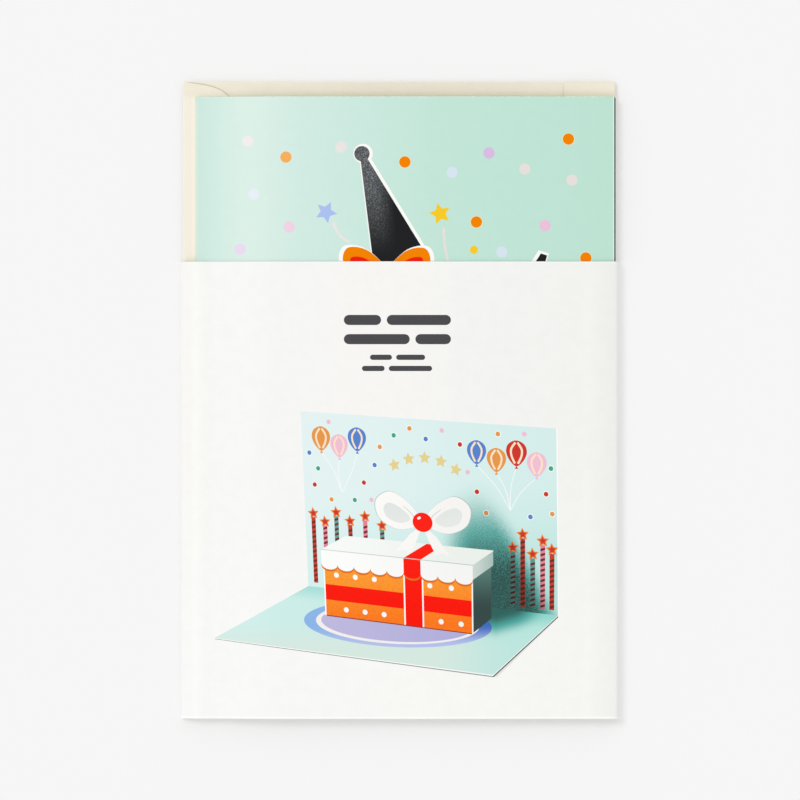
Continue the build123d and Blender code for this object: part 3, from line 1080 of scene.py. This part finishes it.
# Balloons: along, up, radius and colour. A bunch's strings meet. Shares are of a balloon's radius.
STRINGS_LEFT = (28, 66)
STRINGS_RIGHT = (144, 64)
STRING_SWAY = 1.6
LEFT_BUNCH_TO = 80
STRING_W = 0.24
STRING_SHARE = 1.3
NECK_SHARE = 1.15
STRIPE_SHARE = 0.2
FOOT_HALF = 1.1
FOOT_H = 1.9
balloons = [
    (14, 101, 6.8, "orange"),
    (27, 97, 6.4, "pink"),
    (40, 102, 6.6, "blue"),
    (122, 99, 6.4, "blue"),
    (135, 95, 6.4, "orange"),
    (148, 100, 6.8, "red"),
    (161, 94, 6.4, "pink"),
]


def balloon(along, up, radius):
    points = [(0, 1.15), (0.78, 0.78), (0.98, 0.05), (0.62, -0.72), (0.0, -1.2)]
    points += [(-0.62, -0.72), (-0.98, 0.05), (-0.78, 0.78)]
    return upright(smooth([(along + x * radius, up + y * radius) for x, y in points], steps=4))


def balloon_foot(along, up, radius):
    top = up - NECK_SHARE * radius
    low = top - FOOT_H
    return upright([(along, top), (along + FOOT_HALF, low), (along - FOOT_HALF, low)])


def balloon_stripe(along, up, radius, side):
    """A pale stripe down one side of a balloon."""
    line = [(0.1, 0.95), (0.5, 0.35), (0.46, -0.3), (0.14, -0.95)]
    points = [(along + side * x * radius, up + y * radius) for x, y in line]
    return upright(stroke(points, STRIPE_SHARE * radius, steps=4))


for colour in ("orange", "pink", "blue", "red"):
    same = [values for *values, kind in balloons if kind == colour]
    shapes = [balloon(*values) for values in same] + [balloon_foot(*values) for values in same]
    draw(f"balloons_{colour}", shapes, 6.5, sunk[f"dot_{colour}"])
stripes = [balloon_stripe(a, u, r, side) for a, u, r, kind in balloons for side in (-1, 1)]
draw("balloon_stripes", stripes, 7.5, sunk["pale_stripe"])
strings = []
for a, u, r, kind in balloons:
    sway = STRING_SWAY if kind in ("orange", "blue") else -STRING_SWAY
    foot, low = STRINGS_LEFT if a < LEFT_BUNCH_TO else STRINGS_RIGHT
    middle = ((a + foot) / 2 + sway, (u - r + low) / 2)
    strings.append(stroke(upright([(a, u - r * STRING_SHARE), middle, (foot, low)]), STRING_W))
draw("strings", strings, 4, sunk["paper_white"], 0.3)

# Striped sticks with star tops, in front of the back panel's foot: along, height and colour
STICK_HALF = 1.55
STICK_FOOT = 3
STAR_ABOVE = 2.6
STAR_HEART_R = 2.6
STAR_TURN = 0.1
BAND_FROM = 3.6
BAND_PITCH = 3.3
BAND_SLOPE = 1.2
BAND_H = 1.5
BANDS_END = 3
sticks = [
    (145.5, 38, "teal"), (152, 47, "red"), (158.5, 35, "teal"), (165, 44, "pink"), (171, 39, "red"),
    (6, 48, "red"), (14.5, 43, "pink"), (23, 50, "teal"),
    (33, 45, "red"), (44, 49, "pink"), (56, 44, "teal"),
]
for colour in ("red", "teal", "pink"):
    rods = [
        upright(rectangle(a - STICK_HALF, a + STICK_HALF, STICK_FOOT, tall))
        for a, tall, kind in sticks
        if kind == colour
    ]
    draw(f"sticks_{colour}", rods, 3, sunk[f"rod_{colour}"])
bands = []
for a, tall, kind in sticks:
    for up in np.arange(BAND_FROM, tall - BANDS_END, BAND_PITCH):
        slant = [(a - STICK_HALF, up), (a + STICK_HALF, up + BAND_SLOPE)]
        slant += [(x, y + BAND_H) for x, y in reversed(slant)]
        bands.append(upright(slant))
draw("stick_bands", bands, 4, sunk["rod_stripe"])


def stick_stars(radius):
    return [upright(star(a, tall + STAR_ABOVE, radius, STAR_TURN)) for a, tall, kind in sticks]


draw("stick_tops", stick_stars(PAPER_STAR_R), 4, sunk["star_orange"])
draw("stick_hearts", stick_stars(STAR_HEART_R), 5, sunk["dot_red"])

# Box of the picture, with its ribbons and spots
POST_EDGE_W = 1.0
FOOT_LINE_W = 0.26
SPOT_R = 1.7
spot_rows = {27.0: (49, 62, 75, 112, 126), 5.2: (55, 68, 81, 119, 132)}
ribbon_from = RIBBON_AT - RIBBON_HALF
ribbon_to = RIBBON_AT + RIBBON_HALF


def on_front(a_from, a_to, low=0, high=GIFT_H):
    """A rectangle on the box's front."""
    return upright(rectangle(a_from, a_to, low, high), GIFT_NEAR)


draw("box_end", [endwise(rectangle(GIFT_NEAR, GIFT_FAR, 0, GIFT_H), GIFT_TO)], 6, end_dark)
draw("box_front", [on_front(GIFT_FROM, GIFT_TO)], 6, front_orange)
board_edges = [on_front(GIFT_FROM - EDGE_W, GIFT_FROM), on_front(GIFT_TO, GIFT_TO + EDGE_W)]
draw("board_edges", board_edges, 6.5, rim_white)
foot_line = stroke(upright([(GIFT_FROM, 0), (90, 0), (GIFT_TO, 0)], GIFT_NEAR), FOOT_LINE_W)
draw("box_foot", [foot_line], 8.5, foot_brown)
band_left = on_front(GIFT_FROM, ribbon_from, BAND_LOW, BAND_TOP)
band_right = on_front(ribbon_to, GIFT_TO, BAND_LOW, BAND_TOP)
draw("ribbons", [band_left, band_right, on_front(ribbon_from, ribbon_to)], 7, ribbon_red)
post_left = on_front(ribbon_from - POST_EDGE_W, ribbon_from)
post_right = on_front(ribbon_to, ribbon_to + POST_EDGE_W)
draw("ribbon_edges", [post_left, post_right], 8, rim_white)
spots = [disc(a, up, SPOT_R, GIFT_NEAR) for up, row in spot_rows.items() for a in row]
draw("box_spots", spots, 7, rim_white)

# Its lid, with a scalloped edge
UNDER_LID_DROP = 1.2
LID_FOLD_W = 0.22
lid_from = GIFT_FROM - LID_OVER
lid_to = GIFT_TO + LID_OVER
lid_near = GIFT_NEAR + LID_OVER
lid_far = GIFT_FAR - LID_OVER
scallop_wide = (lid_to - lid_from) / SCALLOPS


def scallop(number, drop=0.0):
    """Lower edge of one scallop, counted from the lid's right end and this much lower than in place."""
    line = []
    for k in range(9):
        angle = math.pi * k / 8
        along = lid_to - scallop_wide * (number + 0.5 - 0.5 * math.cos(angle))
        line.append((along, LID_LOW - drop - SCALLOP_DEEP * math.sin(angle)))
    return line


def lid_front(drop):
    """The lid's front with a scalloped lower edge, this much lower than in place."""
    line = [(lid_from, GIFT_H), (lid_to, GIFT_H)] + scallop(0, drop)
    for number in range(1, SCALLOPS):
        line += scallop(number, drop)[1:]
    return upright(line, lid_near)


draw("under_lid", [lid_front(UNDER_LID_DROP)], 9, under_lid)
draw("lid_front", [lid_front(0.0)], 10, rim_white)
draw("lid_side", [endwise(rectangle(lid_near, GIFT_FAR, LID_LOW, GIFT_H), lid_to)], 10, lid_side)
draw("lid_top", [level(rectangle(lid_from, lid_to, lid_far, lid_near), GIFT_H)], 10, lid_white)
post_top = [(ribbon_from, GIFT_H), (ribbon_to, GIFT_H)]
lid_post = upright(post_top + scallop(RIBBON_SCALLOP), lid_near)
lid_strip = level(rectangle(ribbon_from, ribbon_to, lid_far, lid_near), GIFT_H)
draw("lid_ribbon", [lid_post, lid_strip], 11, ribbon_red)
lid_fold = upright([(lid_from, GIFT_H), (RIBBON_AT, GIFT_H), (lid_to, GIFT_H)], lid_near)
draw("lid_fold", [stroke(lid_fold, LID_FOLD_W)], 12, bow_line)

# Its bow: the right half's outlines about the knot
BOW_FOLD_W = 0.25
BOW_RIM_GROW = 1.02
loop = smooth([(0.5, 0), (8, 11), (21, 18), (31, 12), (29, 1), (18, -5), (7, -3.5)], steps=5)
hollow = smooth([(8, 2), (14, 8), (22, 11), (26, 7.5), (23.5, 1.5), (15, -1.2)], steps=5)
tail = [(0, -1), (9, -8), (18, -19), (12.5, -17.6), (8.5, -19.6), (3.5, -10)]
loop_fold = [(4.0, 1.4), (7.5, 5.6), (12.5, 9.6)]


def bow_pair(points, grow=1.0):
    """An outline of the pictured bow on each side of its knot."""
    return [
        upright([(RIBBON_AT + side * x * grow, BOW_MID_UP + y * grow) for x, y in points], BOW_OUT)
        for side in (-1, 1)
    ]


draw("bow_tails", bow_pair(tail), 13, bow_white)
draw("bow_rim", bow_pair(loop, BOW_RIM_GROW), 13.5, bow_line, 0.4)
draw("bow_loops", bow_pair(loop), 15, bow_white)
draw("bow_hollows", bow_pair(hollow), 16, bow_shade)
folds = [stroke(line, BOW_FOLD_W, taper=0.5) for line in bow_pair(loop_fold)]
draw("bow_folds", folds, 16, bow_line)
bow_knot = upright(ellipse(RIBBON_AT, BOW_MID_UP + 0.5, 6.6, 6.0), BOW_OUT)
knot_gleam = upright(ellipse(RIBBON_AT - 2.3, BOW_MID_UP + 3.0, 1.3, 0.8, 0.5), BOW_OUT)
draw("bow_knot", [bow_knot], 17, ribbon_red)
draw("knot_gleam", [knot_gleam], 18, rim_white)

# Floor and backdrop
FLOOR_HALF = 4.0
FLOOR_OWN_LIGHT = 0.35
FLOOR_DROP = 0.02
backdrop = grey(srgb(BACKDROP, BACKDROP, BACKDROP)[0])


def blend(factor, first, second, output):
    """Mixes two shaders into their tree's output."""
    tree = tree_of(factor)
    node = add(tree, "ShaderNodeMixShader")
    feed(node.inputs[0], factor)
    feed(node.inputs[1], first.outputs[0])
    feed(node.inputs[2], second.outputs[0])
    feed(tree.nodes[output].inputs["Surface"], node.outputs[0])


def floor_paper():
    """Matt paper. A share of its colour is its own light, which only the camera sees."""
    material, tree = new_material("floor_paper", 1.0, 0.0)
    paper = tree.nodes["Principled BSDF"]
    paper.inputs["Base Color"].default_value = backdrop
    glow = add(tree, "ShaderNodeEmission")
    glow.inputs["Color"].default_value = backdrop
    rays = add(tree, "ShaderNodeLightPath").outputs
    blend(times(rays["Is Camera Ray"], FLOOR_OWN_LIGHT), paper, glow, "Material Output")
    return material


def sky_light(tree):
    """Plain sky light, and the backdrop wherever the world itself is seen."""
    light = tree.nodes["Background"]
    light.inputs["Color"].default_value = WHITE
    light.inputs["Strength"].default_value = SKY_SHARE
    shown = add(tree, "ShaderNodeBackground")
    shown.inputs["Color"].default_value = backdrop
    rays = add(tree, "ShaderNodeLightPath").outputs
    seen = largest(rays["Is Camera Ray"], rays["Is Transmission Ray"], rays["Is Glossy Ray"])
    blend(seen, light, shown, "World Output")


floor_mesh = bpy.data.meshes.new("floor")
corners = rectangle(-FLOOR_HALF, FLOOR_HALF, -FLOOR_HALF, FLOOR_HALF)
floor_mesh.from_pydata([(x, y, 0) for x, y in corners], [], [(0, 1, 2, 3)])
floor_mesh.materials.append(floor_paper())
floor = add_object("floor", floor_mesh)
floor.location.z = -FLOOR_DROP * MM
floor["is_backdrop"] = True

world = bpy.data.worlds.new("studio")
bpy.context.scene.world = world
world.use_nodes = True
sky_light(world.node_tree)

# Lamp from the upper left: its shadow falls as far right and down as in the photograph
sun_data = bpy.data.lights.new("lamp", "SUN")
sun_data.angle = SUN_SPREAD
sun_drop = SHADOW_DROP / math.hypot(SHADOW_RIGHT, SHADOW_DOWN, SHADOW_DROP)
sun_data.energy = SUN_SHARE * math.pi / sun_drop
sun = add_object("lamp", sun_data)
sun.rotation_mode = "QUATERNION"
sun_way = Vector((SHADOW_RIGHT, -SHADOW_DOWN, -SHADOW_DROP))
sun.rotation_quaternion = sun_way.to_track_quat("-Z", "Y")

# Camera straight above, with a long lens
CAMERA_X = 0.2
CAMERA_Y = -0.04
FRAME_W = 229.4
LENS = 200.0
SENSOR = 36.0
FACE_Z = 4.0
camera_data = bpy.data.cameras.new("camera")
camera_data.lens = LENS
camera_data.sensor_width = SENSOR
camera_data.clip_end = 50
camera = add_object("camera", camera_data)
camera.location = (CAMERA_X * MM, CAMERA_Y * MM, (FRAME_W * LENS / SENSOR + FACE_Z) * MM)
bpy.context.scene.camera = camera
bpy.context.scene.view_settings.view_transform = "Standard"

low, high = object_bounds()
